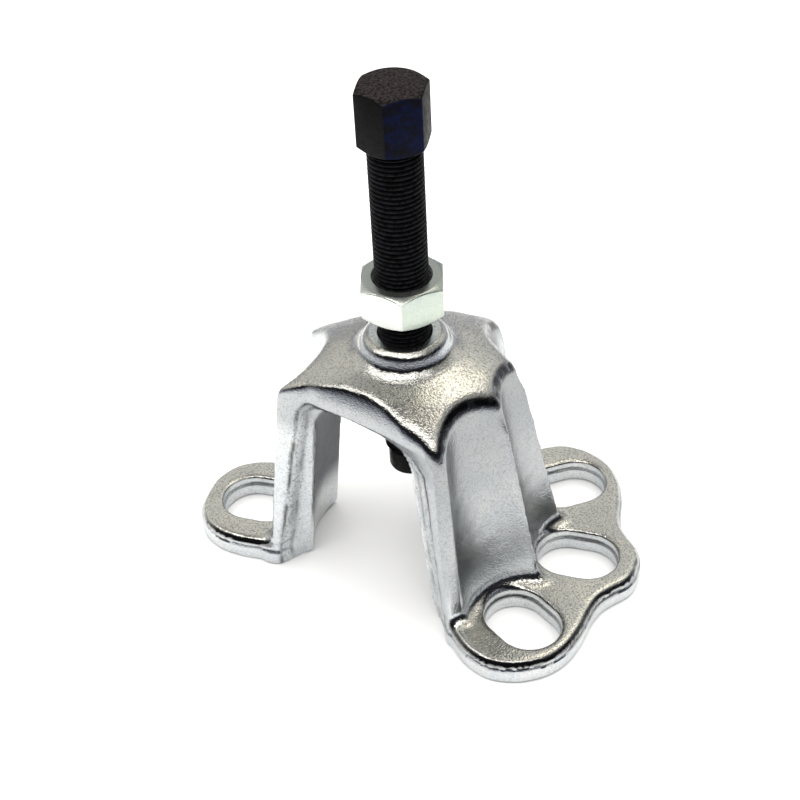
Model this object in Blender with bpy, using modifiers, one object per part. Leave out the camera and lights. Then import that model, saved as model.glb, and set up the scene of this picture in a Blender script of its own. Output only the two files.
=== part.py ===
"""Bolt-on wheel hub puller: a forged yoke with slotted feet, a forcing screw and a lock nut.

Frame: origin on the screw axis, in the plane that the feet stand on.  +Z runs up the screw,
+X points to the wide leg (three slots) and -X to the narrow leg (one slot).
"""
import bpy
import bmesh
from math import atan2, cos, hypot, radians, sin, sqrt, tan
from mathutils import Vector

MM = 0.001
GAP = 0.3 * MM                    # clearance kept between touching or threaded parts
REACH = 2.0 * MM                  # how far a cutter runs past the material
TURN_STEPS = 48                   # facets round a turned part

# ---- forcing screw, M16 x 1.5, and its dog point
THREAD_R = 8.0 * MM               # major radius of the thread
POINT_R = 7.0 * MM                # smooth dog point at the lower end
POINT_BOTTOM = 36.0 * MM
POINT_TOP = 44.0 * MM
POINT_CHAMFER = 0.7 * MM
THREAD_LEAD = 1.0 * MM            # taper at the start of the thread
HEAD_OVERLAP = 1.0 * MM           # length of the shank sunk into the head
HEAD_BOTTOM = 152.0 * MM
HEAD_TOP = 170.2 * MM
HEAD_FLATS = 19.0 * MM            # across flats
HEAD_CORNER_DEG = -25.0           # direction of one corner

# ---- lock nut, M16 x 1.5
NUT_BOTTOM = 96.2 * MM
NUT_TOP = 108.0 * MM
NUT_FLATS = 24.0 * MM
NUT_MOUTH_R = 9.1 * MM
NUT_CORNER_DEG = -74.0
HEX_CHAMFER_SLOPE = tan(radians(30.0))
HEX_FACE_SHARE = 0.475            # radius of the flat end face, as a share of the width across flats
HEX_OUTER_SHARE = 0.62            # a radius just outside the corners, likewise

# ---- yoke: heights
FOOT_THICK = 8.0 * MM
DOME_TOP = 83.0 * MM              # the dome's height if it ran on over the axis
DOME_DROP = 8.0                   # drop of the dome per square metre of radius, in 1/m
RIM_ROUND = 3.0 * MM              # rounding between the dome and the side walls
RIM_ANGLES = (10.0, 35.0, 60.0, 90.0)
BLEND_R = 19.0 * MM               # where the dome starts to rise to the boss
DOME_SHARES = (0.35, 0.7)         # rings between the rim and that radius
BOSS_TOP = 88.0 * MM
BOSS_PROFILE = [                  # radius and height, from the spot face out to the dome
    (12.3 * MM, BOSS_TOP), (13.3 * MM, 87.4 * MM), (15.3 * MM, 84.9 * MM), (16.8 * MM, 82.4 * MM),
]
BOSS_MOUTH_R = 9.0 * MM
BORE_R = THREAD_R + GAP

# ---- yoke: the hub cavity between the legs is turned about the screw axis
CAVITY_FOOT_R = 33.9 * MM
CAVITY_DRAFT = 0.0895             # radius lost per unit of height
CROWN_Z = 63.2 * MM
CROWN_CORNER = 6.5 * MM
CAVITY_STEPS = 72

# ---- yoke: outer walls, as plan sections at five heights.
# Each rib edge and each front point is (x, y) in mm; the yoke is symmetric about the XZ plane,
# and only its -Y half is given.
LEVELS = [0.0, 8.0 * MM, 63.0 * MM, 69.0 * MM, 76.0 * MM]
RIB_MIDDLE = [(45.9, -14.4), (45.6, -14.3), (34.9, -11.0), (33.7, -10.6), (32.6, -10.2)]
RIB_OUTER_GROOVE = [(26.8, -38.2), (26.4, -37.0), (22.0, -33.9), (21.5, -33.5), (20.9, -33.1)]
RIB_OUTER_FRONT = [(22.6, -40.4), (22.0, -39.2), (18.7, -35.8), (18.3, -35.5), (17.9, -35.2)]
ARCH_RIGHT = [(14.9, -30.2), (13.9, -31.0), (5.4, -26.4), (4.5, -28.2), (4.5, -28.4)]
ARCH_MIDDLE = [(-9.0, -19.0), (-9.0, -19.0), (-8.1, -19.8), (-8.5, -22.9), (-8.5, -23.1)]
ARCH_LEFT = [(-32.3, -13.4), (-31.6, -13.6), (-23.5, -14.3), (-24.0, -18.2), (-24.0, -18.5)]
PARTING_LEFT = [(-40.0, -20.3), (-39.6, -19.7), (-30.2, -17.7), (-29.6, -17.8), (-29.5, -17.8)]
RIB_NARROW_FRONT = [(-44.2, -20.3), (-43.4, -19.2), (-37.3, -16.6), (-36.6, -16.4), (-36.0, -16.2)]
RIB_NARROW_CHANNEL = [(-44.6, -17.0), (-44.2, -16.4), (-37.9, -14.6), (-37.2, -14.4), (-36.6, -14.2)]
GROOVE_FLOOR_WIDE = [40.0, 40.0, 31.6, 30.6, 29.4]     # x of the middle groove's floor at y = 0
GROOVE_FLOOR_NARROW = [-40.0, -40.0, -30.8, -29.9, -28.8]
OUTER_GROOVE_DEPTH = 5.6 * MM
GROOVE_STEPS = 10
FRONT_STEPS = 4
WALL_STEPS = 5                    # sections between foot top and crown

# ---- yoke: feet and slots
SLOT_HALF_WIDTH = 9.45 * MM
SLOT_INNER = 50.8 * MM            # the slot's end centres lie on 4 in and 4.5 in bolt circles
SLOT_OUTER = 57.15 * MM
SLOT_DEGREES = [0.0, 36.0, -36.0, 180.0]
SLOT_CHAMFER = 1.0 * MM
SLOT_STEPS = 12                   # facets round each end of a slot
FOOT_ROUND = 1.6 * MM
FOOT_END_R = 74.0 * MM            # both feet end this far from the axis
WIDE_FOOT = [                     # half outline (-Y side), from the middle lobe's end inwards
    (73.95, -3.5), (72.3, -8.2), (68.6, -12.6), (65.3, -17.2), (63.5, -23.4), (62.5, -30.8),
    (59.9, -39.6), (55.0, -46.4), (47.2, -51.0), (38.8, -52.2), (32.0, -49.8), (26.6, -45.6),
    (22.6, -40.0), (21.0, -34.0),
]
NARROW_FOOT = [                   # half outline (-Y side), from the leg out to the end
    (-37.0, -15.0), (-43.0, -19.7), (-48.0, -20.4), (-55.0, -20.4), (-62.6, -18.8), (-69.0, -14.6),
    (-73.0, -8.0), (-73.98, -2.8),
]


# ---------------------------------------------------------------- scene helpers

def clear_scene():
    for thing in list(bpy.data.objects):
        bpy.data.objects.remove(thing, do_unlink=True)


def new_collection(name):
    group = bpy.data.collections.new(name)
    bpy.context.scene.collection.children.link(group)
    return group


def add_object(name, mesh, group):
    thing = bpy.data.objects.new(name, mesh)
    group.objects.link(thing)
    return thing


def make_cutter(thing):
    thing.hide_render = True
    thing.display_type = 'WIRE'
    return thing


def mesh_from_bmesh(name, bm):
    mesh = bpy.data.meshes.new(name)
    bmesh.ops.recalc_face_normals(bm, faces=bm.faces)
    bm.to_mesh(mesh)
    bm.free()
    return mesh


def new_material(name, colour, roughness, metallic):
    material = bpy.data.materials.new(name)
    material.use_nodes = True
    shader = material.node_tree.nodes['Principled BSDF']
    shader.inputs['Base Color'].default_value = (*colour, 1.0)
    shader.inputs['Roughness'].default_value = roughness
    shader.inputs['Metallic'].default_value = metallic
    return material


def boolean(target, cutter, operation='DIFFERENCE'):
    modifier = target.modifiers.new(operation.title() + '_' + cutter.name, 'BOOLEAN')
    modifier.operation = operation
    modifier.solver = 'EXACT'
    modifier.object = cutter


def baked_mesh(thing):
    """The object's evaluated mesh in world space, welded, as a new mesh."""
    bpy.context.view_layer.update()
    graph = bpy.context.evaluated_depsgraph_get()
    mesh = bpy.data.meshes.new_from_object(thing.evaluated_get(graph))
    mesh.transform(thing.matrix_world)
    bm = bmesh.new()
    bm.from_mesh(mesh)
    bmesh.ops.remove_doubles(bm, verts=bm.verts, dist=1e-6)
    bm.to_mesh(mesh)
    bm.free()
    return mesh


def turned(name, profile, steps, group):
    """A solid turned about Z from (radius, height) points that run from its top to its bottom."""
    mesh = bpy.data.meshes.new(name)
    points = [(radius, 0.0, height) for radius, height in profile]
    mesh.from_pydata(points, [(i, i + 1) for i in range(len(points) - 1)], [])
    thing = add_object(name, mesh, group)
    screw = thing.modifiers.new('Turn', 'SCREW')
    screw.axis = 'Z'
    screw.steps = steps
    screw.render_steps = steps
    screw.use_merge_vertices = True
    screw.merge_threshold = 1e-6
    return thing


def flat_outline(name, points, bottom, top, group):
    """A prism from a closed outline, made as a filled 2D curve with an extrude."""
    curve = bpy.data.curves.new(name, 'CURVE')
    curve.dimensions = '2D'
    curve.fill_mode = 'BOTH'
    curve.extrude = (top - bottom) / 2.0
    spline = curve.splines.new('POLY')
    spline.points.add(len(points) - 1)
    for point, (x, y) in zip(spline.points, points):
        point.co = (x, y, 0.0, 1.0)
    spline.use_cyclic_u = True
    thing = add_object(name, curve, group)
    thing.location.z = (top + bottom) / 2.0
    mesh = baked_mesh(thing)
    bpy.data.objects.remove(thing, do_unlink=True)
    return add_object(name, mesh, group)


# ---------------------------------------------------------------- plan curves

def arc_through(start, end, sagitta, steps):
    """Points of a circular arc from start to end, bulging to the left of that direction."""
    (x0, y0), (x1, y1) = start, end
    chord = hypot(x1 - x0, y1 - y0)
    radius = (chord ** 2 / 4.0 + sagitta ** 2) / (2.0 * abs(sagitta))
    half = atan2(chord / 2.0, radius - abs(sagitta))
    side = 1.0 if sagitta > 0.0 else -1.0
    along = Vector((x1 - x0, y1 - y0)) / chord
    left = Vector((-along.y, along.x)) * side
    middle = Vector(((x0 + x1) / 2.0, (y0 + y1) / 2.0))
    centre = middle - left * (radius - abs(sagitta))
    points = []
    for i in range(steps + 1):
        angle = -half + 2.0 * half * i / steps
        points.append(tuple(centre + left * radius * cos(angle) + along * radius * sin(angle)))
    return points


def smooth_curve(points, steps):
    """Catmull-Rom curve through the points, ends included."""
    knots = [Vector(point) for point in points]
    knots = [2.0 * knots[0] - knots[1]] + knots + [2.0 * knots[-1] - knots[-2]]
    curve = []
    for a, b, c, d in zip(knots, knots[1:], knots[2:], knots[3:]):
        for i in range(steps):
            t = i / steps
            curve.append(tuple(0.5 * (2.0 * b + (c - a) * t + (2.0 * a - 5.0 * b + 4.0 * c - d) * t ** 2
                                      + (3.0 * b - a - 3.0 * c + d) * t ** 3)))
    curve.append(tuple(knots[-2]))
    return curve


def mirrored_loop(half):
    """Close a half outline (-Y side, given from +X to -X) with its mirror image in y."""
    return half + [(x, -y) for x, y in reversed(half) if abs(y) > 1e-6]


def between(table, height):
    """A plan point of the table of sections at this height, in metres."""
    for low, high, a, b in zip(LEVELS, LEVELS[1:], table, table[1:]):
        if height <= high or high == LEVELS[-1]:
            t = (height - low) / (high - low)
            if isinstance(a, tuple):
                return tuple((p + (q - p) * t) * MM for p, q in zip(a, b))
            return (a + (b - a) * t) * MM


def wall_section(height):
    """The yoke's outer outline at one height, as a closed loop seen from above."""
    middle_rib = between(RIB_MIDDLE, height)
    groove_edge = between(RIB_OUTER_GROOVE, height)
    narrow_channel = between(RIB_NARROW_CHANNEL, height)
    wide_floor = between(GROOVE_FLOOR_WIDE, height)
    narrow_floor = between(GROOVE_FLOOR_NARROW, height)
    steps = GROOVE_STEPS
    middle = arc_through((middle_rib[0], -middle_rib[1]), middle_rib, -(middle_rib[0] - wide_floor), steps)
    half = middle[steps // 2:]
    half += arc_through(middle_rib, groove_edge, -OUTER_GROOVE_DEPTH, steps)[1:]
    front = [between(table, height) for table in
             (RIB_OUTER_FRONT, ARCH_RIGHT, ARCH_MIDDLE, ARCH_LEFT, PARTING_LEFT, RIB_NARROW_FRONT)]
    half += smooth_curve(front, FRONT_STEPS)
    opposite = (narrow_channel[0], -narrow_channel[1])
    channel = arc_through(narrow_channel, opposite, -(narrow_floor - narrow_channel[0]), steps)
    half += channel[:steps // 2 + 1]
    return mirrored_loop(half)


def dome_height(radius):
    return DOME_TOP - DOME_DROP * radius ** 2


# ---------------------------------------------------------------- yoke

def yoke_body(group):
    """Legs and top: plan sections lofted from the foot plane up to the rim of the dome, then over
    the rim's rounding and in over the dome to the boss."""
    heights = [0.0] + [FOOT_THICK + (LEVELS[2] - FOOT_THICK) * i / WALL_STEPS for i in range(WALL_STEPS + 1)]
    rings = []
    for height in heights + [LEVELS[3]]:
        rings.append([(x, y, height) for x, y in wall_section(height)])
    rim = wall_section(LEVELS[-1])
    for angle in RIM_ANGLES:
        inset = RIM_ROUND * (1.0 - cos(radians(angle)))
        drop = RIM_ROUND * (1.0 - sin(radians(angle)))
        ring = []
        for x, y in rim:
            radius = hypot(x, y)
            shrink = (radius - inset) / radius
            ring.append((x * shrink, y * shrink, dome_height(radius - inset) - drop))
        rings.append(ring)
    outer = rings[-1]
    for share in DOME_SHARES:
        ring = []
        for x, y, z in outer:
            rim_radius = hypot(x, y)
            radius = rim_radius + (BLEND_R - rim_radius) * share
            ring.append((x * radius / rim_radius, y * radius / rim_radius, dome_height(radius)))
        rings.append(ring)
    for radius, height in [(BLEND_R, dome_height(BLEND_R))] + BOSS_PROFILE[::-1]:
        rings.append([(radius * x / hypot(x, y), radius * y / hypot(x, y), height) for x, y, z in outer])
    bm = bmesh.new()
    loops = [[bm.verts.new(point) for point in ring] for ring in rings]
    count = len(rim)
    for low, high in zip(loops, loops[1:]):
        for i in range(count):
            j = (i + 1) % count
            bm.faces.new((low[i], low[j], high[j], high[i]))
    bm.faces.new(loops[0][::-1])
    bm.faces.new(loops[-1])
    return add_object('yoke', mesh_from_bmesh('yoke', bm), group)


def rounded_foot(name, outline, group):
    foot = flat_outline(name, outline, 0.0, FOOT_THICK, group)
    bm = bmesh.new()
    bm.from_mesh(foot.data)
    bmesh.ops.dissolve_limit(bm, angle_limit=radians(1.0), verts=bm.verts, edges=bm.edges)
    top_edges = [edge for edge in bm.edges if all(v.co.z > FOOT_THICK - 1e-5 for v in edge.verts)]
    bmesh.ops.bevel(bm, geom=top_edges, offset=FOOT_ROUND, segments=2, affect='EDGES', profile=0.5)
    bm.to_mesh(foot.data)
    bm.free()
    return foot


def wide_foot_outline():
    half = [(FOOT_END_R, 0.0)] + [(x * MM, y * MM) for x, y in WIDE_FOOT]
    return mirrored_loop(smooth_curve(half, 2))


def narrow_foot_outline():
    half = [(x * MM, y * MM) for x, y in NARROW_FOOT] + [(-FOOT_END_R, 0.0)]
    return mirrored_loop(smooth_curve(half, 2))


def slot_cutter(direction, group):
    """A stadium prism with flared ends, laid along a radius."""
    along = Vector((cos(radians(direction)), sin(radians(direction)), 0.0))
    across = Vector((-along.y, along.x, 0.0))
    levels = [
        (-REACH, SLOT_CHAMFER + REACH), (SLOT_CHAMFER, 0.0),
        (FOOT_THICK - SLOT_CHAMFER, 0.0), (FOOT_THICK + REACH, SLOT_CHAMFER + REACH),
    ]
    bm = bmesh.new()
    loops = []
    for height, flare in levels:
        radius = SLOT_HALF_WIDTH + flare
        loop = []
        for centre, first in ((SLOT_OUTER, -90.0), (SLOT_INNER, 90.0)):
            for i in range(SLOT_STEPS + 1):
                angle = radians(first + 180.0 * i / SLOT_STEPS)
                point = along * (centre + radius * cos(angle)) + across * radius * sin(angle)
                loop.append(bm.verts.new(point + Vector((0.0, 0.0, height))))
        loops.append(loop)
    count = len(loops[0])
    for low, high in zip(loops, loops[1:]):
        for i in range(count):
            j = (i + 1) % count
            bm.faces.new((low[i], low[j], high[j], high[i]))
    bm.faces.new(loops[0][::-1])
    bm.faces.new(loops[-1])
    name = 'slot_cut_%d' % round(direction)
    return make_cutter(add_object(name, mesh_from_bmesh(name, bm), group))


def hub_cavity(group):
    corner_z = CROWN_Z - CROWN_CORNER
    wall_r = CAVITY_FOOT_R - CAVITY_DRAFT * corner_z
    profile = [(0.0, CROWN_Z)]
    for angle in (90.0, 60.0, 30.0, 0.0):
        profile.append((wall_r - CROWN_CORNER * (1.0 - cos(radians(angle))),
                        corner_z + CROWN_CORNER * sin(radians(angle))))
    profile += [(CAVITY_FOOT_R + CAVITY_DRAFT * REACH, -REACH), (0.0, -REACH)]
    return make_cutter(turned('hub_cavity', profile, CAVITY_STEPS, group))


def bore_cutter(group):
    flare = BOSS_MOUTH_R - BORE_R
    outside_r = BOSS_MOUTH_R + REACH
    profile = [
        (0.0, BOSS_TOP + REACH), (outside_r, BOSS_TOP + REACH), (BORE_R, BOSS_TOP - flare),
        (BORE_R, CROWN_Z + flare), (outside_r, CROWN_Z - REACH), (0.0, CROWN_Z - REACH),
    ]
    return make_cutter(turned('bore', profile, TURN_STEPS, group))


def make_yoke(parts, cutters, material):
    yoke = yoke_body(parts)
    for name, outline in (('wide_foot', wide_foot_outline()), ('narrow_foot', narrow_foot_outline())):
        boolean(yoke, make_cutter(rounded_foot(name, outline, cutters)), 'UNION')
    boolean(yoke, hub_cavity(cutters))
    boolean(yoke, bore_cutter(cutters))
    for direction in SLOT_DEGREES:
        boolean(yoke, slot_cutter(direction, cutters))
    yoke.data.materials.append(material)
    return yoke


# ---------------------------------------------------------------- screw, point and nut

def hexagon(name, flats, bottom, top, corner_degrees, group):
    """A hexagon prism whose corners are turned off at 30 degrees at both ends."""
    corner_r = flats / sqrt(3.0)
    bm = bmesh.new()
    bmesh.ops.create_cone(bm, cap_ends=True, segments=6, radius1=corner_r, radius2=corner_r,
                          depth=top - bottom)
    # create_cone puts its first corner on +Y
    turn = radians(corner_degrees - 90.0)
    for vert in bm.verts:
        x, y = vert.co.x, vert.co.y
        vert.co.x = x * cos(turn) - y * sin(turn)
        vert.co.y = x * sin(turn) + y * cos(turn)
        vert.co.z += (top + bottom) / 2.0
    return add_object(name, mesh_from_bmesh(name, bm), group)


def hexagon_chamfer(name, flats, bottom, top, group):
    """The turned envelope that takes the corners off a hexagon."""
    face_r = flats * HEX_FACE_SHARE
    outer_r = flats * HEX_OUTER_SHARE
    drop = (outer_r - face_r) * HEX_CHAMFER_SLOPE
    profile = [(0.0, top), (face_r, top), (outer_r, top - drop), (outer_r, bottom + drop), (face_r, bottom),
               (0.0, bottom)]
    return make_cutter(turned(name, profile, TURN_STEPS, group))


def make_screw(parts, cutters, material):
    """Head and threaded shank; the shank is a plain cylinder at the thread's major diameter."""
    head = hexagon('forcing_screw', HEAD_FLATS, HEAD_BOTTOM, HEAD_TOP, HEAD_CORNER_DEG, parts)
    boolean(head, hexagon_chamfer('head_envelope', HEAD_FLATS, HEAD_BOTTOM, HEAD_TOP, cutters), 'INTERSECT')
    bottom = POINT_TOP + GAP
    top = HEAD_BOTTOM + HEAD_OVERLAP
    profile = [(0.0, top), (THREAD_R, top), (THREAD_R, bottom + THREAD_LEAD), (POINT_R, bottom),
               (0.0, bottom)]
    boolean(head, make_cutter(turned('shank', profile, TURN_STEPS, cutters)), 'UNION')
    head.data.materials.append(material)
    return head


def make_point(parts, material):
    profile = [(0.0, POINT_TOP), (POINT_R, POINT_TOP), (POINT_R, POINT_BOTTOM + POINT_CHAMFER),
               (POINT_R - POINT_CHAMFER, POINT_BOTTOM), (0.0, POINT_BOTTOM)]
    point = turned('screw_point', profile, TURN_STEPS, parts)
    point.data.materials.append(material)
    return point


def make_nut(parts, cutters, material):
    nut = hexagon('lock_nut', NUT_FLATS, NUT_BOTTOM, NUT_TOP, NUT_CORNER_DEG, parts)
    boolean(nut, hexagon_chamfer('nut_envelope', NUT_FLATS, NUT_BOTTOM, NUT_TOP, cutters), 'INTERSECT')
    flare = NUT_MOUTH_R - BORE_R
    outside_r = NUT_MOUTH_R + REACH
    profile = [(0.0, NUT_TOP + REACH), (outside_r, NUT_TOP + REACH), (BORE_R, NUT_TOP - flare),
               (BORE_R, NUT_BOTTOM + flare), (outside_r, NUT_BOTTOM - REACH), (0.0, NUT_BOTTOM - REACH)]
    boolean(nut, make_cutter(turned('nut_bore', profile, TURN_STEPS, cutters)))
    nut.data.materials.append(material)
    return nut


def main():
    clear_scene()
    parts = new_collection('hub_puller')
    cutters = new_collection('cutters')
    plated = new_material('plated_forging', (0.62, 0.62, 0.60), 0.38, 0.9)
    black = new_material('black_oxide', (0.03, 0.03, 0.035), 0.4, 0.7)
    zinc = new_material('zinc_plate', (0.72, 0.74, 0.68), 0.28, 0.95)
    make_yoke(parts, cutters, plated)
    make_screw(parts, cutters, black)
    make_point(parts, black)
    make_nut(parts, cutters, zinc)


main()
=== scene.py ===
"""Visual model of a bolt-on wheel hub puller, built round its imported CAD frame.

Frame: origin on the screw axis in the plane the feet stand on, +Z up the screw, +X to the wide foot.
The yoke is a forging, so it is built as one distance field with rounded unions and cuts, turned into
a mesh, and then machined (spot face, threaded bore) with booleans.  Field work is in millimetres.
"""
from math import atan2, cos, hypot, pi, radians, sin, sqrt, tan

import bmesh
import bpy
import numpy as np
from mathutils import Matrix, Vector


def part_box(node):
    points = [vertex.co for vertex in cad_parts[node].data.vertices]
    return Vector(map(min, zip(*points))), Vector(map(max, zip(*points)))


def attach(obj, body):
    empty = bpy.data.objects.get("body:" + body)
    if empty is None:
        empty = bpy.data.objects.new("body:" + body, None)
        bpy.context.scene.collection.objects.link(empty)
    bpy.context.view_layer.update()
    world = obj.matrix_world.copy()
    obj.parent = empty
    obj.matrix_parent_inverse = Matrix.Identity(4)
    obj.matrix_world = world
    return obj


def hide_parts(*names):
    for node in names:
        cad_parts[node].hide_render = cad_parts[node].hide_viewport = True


MM = 0.001

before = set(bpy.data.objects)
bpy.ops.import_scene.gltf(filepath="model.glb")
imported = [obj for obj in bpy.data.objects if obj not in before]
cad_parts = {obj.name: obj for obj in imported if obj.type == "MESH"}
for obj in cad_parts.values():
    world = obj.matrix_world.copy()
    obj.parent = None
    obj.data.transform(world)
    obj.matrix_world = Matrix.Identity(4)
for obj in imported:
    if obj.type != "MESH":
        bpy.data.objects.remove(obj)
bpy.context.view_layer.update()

# ---- sizes that the CAD nodes fix, in mm
YOKE_LOW, YOKE_HIGH = (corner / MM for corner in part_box("yoke"))
SCREW_LOW, SCREW_HIGH = (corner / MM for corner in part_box("forcing_screw"))
POINT_LOW, POINT_HIGH = (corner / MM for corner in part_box("screw_point"))
NUT_LOW, NUT_HIGH = (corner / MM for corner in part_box("lock_nut"))

# ---- thread M16 x 1.5, right-handed
PITCH = 1.5
THREAD_PLAY = 0.12               # how much wider the internal threads are, in radius
MAJOR_R = 7.98
MINOR_R = 7.08
CREST = 0.19                     # length of the flat crest along the axis
ROOT = 0.37
HEAD_BOTTOM = 152.0
HEAD_FLATS = 19.0
HEAD_CORNER_DEG = -25.0
NUT_FLATS = 24.0
NUT_CORNER_DEG = -74.0
POINT_R = 7.0

# ---- yoke, the same plan sections as the CAD solid; its -Y half, from the feet up
FOOT_THICK = 8.0
DOME_TOP = 83.0
DOME_DROP = 0.008
BOSS_TOP = 88.0
BOSS_R = 12.5
BOSS_ROOT = 78.0                 # the boss flank ends inside the dome
SPOT_FACE_Z = 87.72              # the machined seat on top of the boss
LEVELS = [0.0, 8.0, 63.0, 69.0, 76.0]
RIB_MIDDLE = [(45.9, -14.4), (45.6, -14.3), (34.9, -11.0), (33.7, -10.6), (32.6, -10.2)]
RIB_OUTER_GROOVE = [(26.8, -38.2), (26.4, -37.0), (22.0, -33.9), (21.5, -33.5), (20.9, -33.1)]
RIB_OUTER_FRONT = [(22.6, -40.4), (22.0, -39.2), (18.7, -35.8), (18.3, -35.5), (17.9, -35.2)]
ARCH_RIGHT = [(14.9, -30.2), (13.9, -31.0), (5.4, -26.4), (4.5, -28.2), (4.5, -28.4)]
ARCH_MIDDLE = [(-9.0, -19.0), (-9.0, -19.0), (-8.1, -19.8), (-8.5, -22.9), (-8.5, -23.1)]
ARCH_LEFT = [(-32.3, -13.4), (-31.6, -13.6), (-23.5, -14.3), (-24.0, -18.2), (-24.0, -18.5)]
PARTING_LEFT = [(-40.0, -20.3), (-39.6, -19.7), (-30.2, -17.7), (-29.6, -17.8), (-29.5, -17.8)]
RIB_NARROW_FRONT = [(-44.2, -20.3), (-43.4, -19.2), (-37.3, -16.6), (-36.6, -16.4), (-36.0, -16.2)]
RIB_NARROW_CHANNEL = [(-44.6, -17.0), (-44.2, -16.4), (-37.9, -14.6), (-37.2, -14.4), (-36.6, -14.2)]
GROOVE_FLOOR_WIDE = [40.0, 40.0, 31.6, 30.6, 29.4]
GROOVE_FLOOR_NARROW = [-40.0, -40.0, -30.8, -29.9, -28.8]
OUTER_GROOVE_DEPTH = 5.6
GROOVE_STEPS = 20
FRONT_STEPS = 6
WIDE_FOOT = [
    (73.95, -3.5), (72.3, -8.2), (68.6, -12.6), (65.3, -17.2), (63.5, -23.4), (62.5, -30.8),
    (59.9, -39.6), (55.0, -46.4), (47.2, -51.0), (38.8, -52.2), (32.0, -49.8), (26.6, -45.6),
    (22.6, -40.0), (21.0, -34.0),
]
NARROW_FOOT = [
    (-37.0, -15.0), (-43.0, -19.7), (-48.0, -20.4), (-55.0, -20.4), (-62.6, -18.8), (-69.0, -14.6),
    (-73.0, -8.0), (-73.98, -2.8),
]
FOOT_END_R = 74.0
SLOT_HALF_WIDTH = 9.3
SLOT_INNER = 50.8
SLOT_OUTER = 57.15
SLOT_DEGREES = (0.0, 36.0, -36.0, 180.0)
SLOT_DRAFT = 0.025               # widening towards both faces, which leaves a fine ridge half way
CAVITY_FOOT_R = 33.9
CAVITY_DRAFT = 0.0895
CROWN_Z = 63.2

# ---- roundings of the forging
RIM_EDGE = 0.7                   # rounding of both edges of the bevel round the dome
RIM_BEVEL_FRONT = 0.32
RIM_BEVEL_TIP = 0.80             # what the front bevel gains towards the wide leg's tip
RIM_BEVEL_GROOVE = 2.1
BEVEL_SLOPE = 0.55               # keeps the bevel's field a distance
LIP_SLOPE = 0.35                 # of the narrow facet between the dome and its bevel
LIP_SCALE = 0.79
LIP_ROUND = 0.3                  # rounding of the narrow facets of the dome and the feet
RIM_LEAN = 0.030                 # the front faces curve back above the parting line
RIM_LEAN_FROM = 68.0
RIM_LEDGE = 1.3                  # how far they stand out above it, over the arch
BOSS_ROUND = 0.4
BOSS_FLANK = (0.955, 0.297)      # the flank's outward and upward slope, as a unit normal
BOSS_EDGE = (0.607, 0.794)       # the same for its chamfer and for the skirt at its foot
BOSS_CHAMFER = 1.00              # how deep the boss's upper edge is taken off
BOSS_SKIRT = 0.85                # how far the skirt round the boss's foot fills its corner
BOSS_SKIRT_R = 15.3              # where the flank would meet the dome
BOSS_SKIRT_Z = 81.1
BOSS_SKIRT_DROP = 2.0            # how far below the boss's top the skirt ends
BOSS_FILLET = 0.5
FOOT_ROUND = 0.5
FOOT_BEVEL = 2.3                 # how far down the feet's upper edge is bevelled
FOOT_LIP = 1.43                  # the same for the narrow facet above that bevel
STEEP = (1.3, 1.64)              # slope of the bevels on feet and slots, and its length
GENTLE = (0.7, 1.22)             # the same for the feet's narrow facet
FOOT_FILLET = 4.0
SOLE_ROUND = 0.5
CROWN_ROUND = 6.5
ARCH_ROUND = 2.0
SLOT_ROUND = 0.5
SLOT_BEVEL = 1.4

CELL = 0.685                     # size of the field's cells
PARTING_SHARE = 0.63             # on the wide leg's front, from the arch to the rib
PARTING_STEP = 0.5
TRIM_HEIGHT = 4.9                # where the feet were trimmed, above the sole
TRIM_STEP = 0.55
# plan sections of the walls are softened at these heights; passes past the second, on the wide leg only
SLICE_HEIGHTS = [0.0, 8.0, 19.0, 30.0, 41.0, 52.0, 63.0, 66.0, 69.0, 73.0, 77.0, 91.0]
SLICE_SOFTNESS = [1, 1, 1, 1, 1, 1, 2, 12, 28, 28, 28, 28]


# ---------------------------------------------------------------- plan outlines

def arc_through(start, end, sagitta, steps):
    """Points of a circular arc from start to end, bulging to the left of that direction."""
    (x0, y0), (x1, y1) = start, end
    chord = hypot(x1 - x0, y1 - y0)
    radius = (chord ** 2 / 4.0 + sagitta ** 2) / (2.0 * abs(sagitta))
    half = atan2(chord / 2.0, radius - abs(sagitta))
    side = 1.0 if sagitta > 0.0 else -1.0
    along = Vector((x1 - x0, y1 - y0)) / chord
    left = Vector((-along.y, along.x)) * side
    middle = Vector(((x0 + x1) / 2.0, (y0 + y1) / 2.0))
    centre = middle - left * (radius - abs(sagitta))
    angles = [-half + 2.0 * half * i / steps for i in range(steps + 1)]
    return [tuple(centre + left * radius * cos(a) + along * radius * sin(a)) for a in angles]


def smooth_curve(points, steps):
    """Catmull-Rom curve through the points, ends included."""
    knots = [Vector(point) for point in points]
    knots = [2.0 * knots[0] - knots[1]] + knots + [2.0 * knots[-1] - knots[-2]]
    curve = []
    for a, b, c, d in zip(knots, knots[1:], knots[2:], knots[3:]):
        for i in range(steps):
            t = i / steps
            curve.append(tuple(0.5 * (2.0 * b + (c - a) * t + (2.0 * a - 5.0 * b + 4.0 * c - d) * t ** 2
                                      + (3.0 * b - a - 3.0 * c + d) * t ** 3)))
    curve.append(tuple(knots[-2]))
    return curve


def mirrored_loop(half):
    return half + [(x, -y) for x, y in reversed(half) if abs(y) > 1e-6]


def between(table, height):
    """A table's plan point at this height; it runs on past the last level."""
    for low, high, a, b in zip(LEVELS, LEVELS[1:], table, table[1:]):
        if height <= high or high == LEVELS[-1]:
            t = (height - low) / (high - low)
            if isinstance(a, tuple):
                return tuple(p + (q - p) * t for p, q in zip(a, b))
            return a + (b - a) * t


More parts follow.
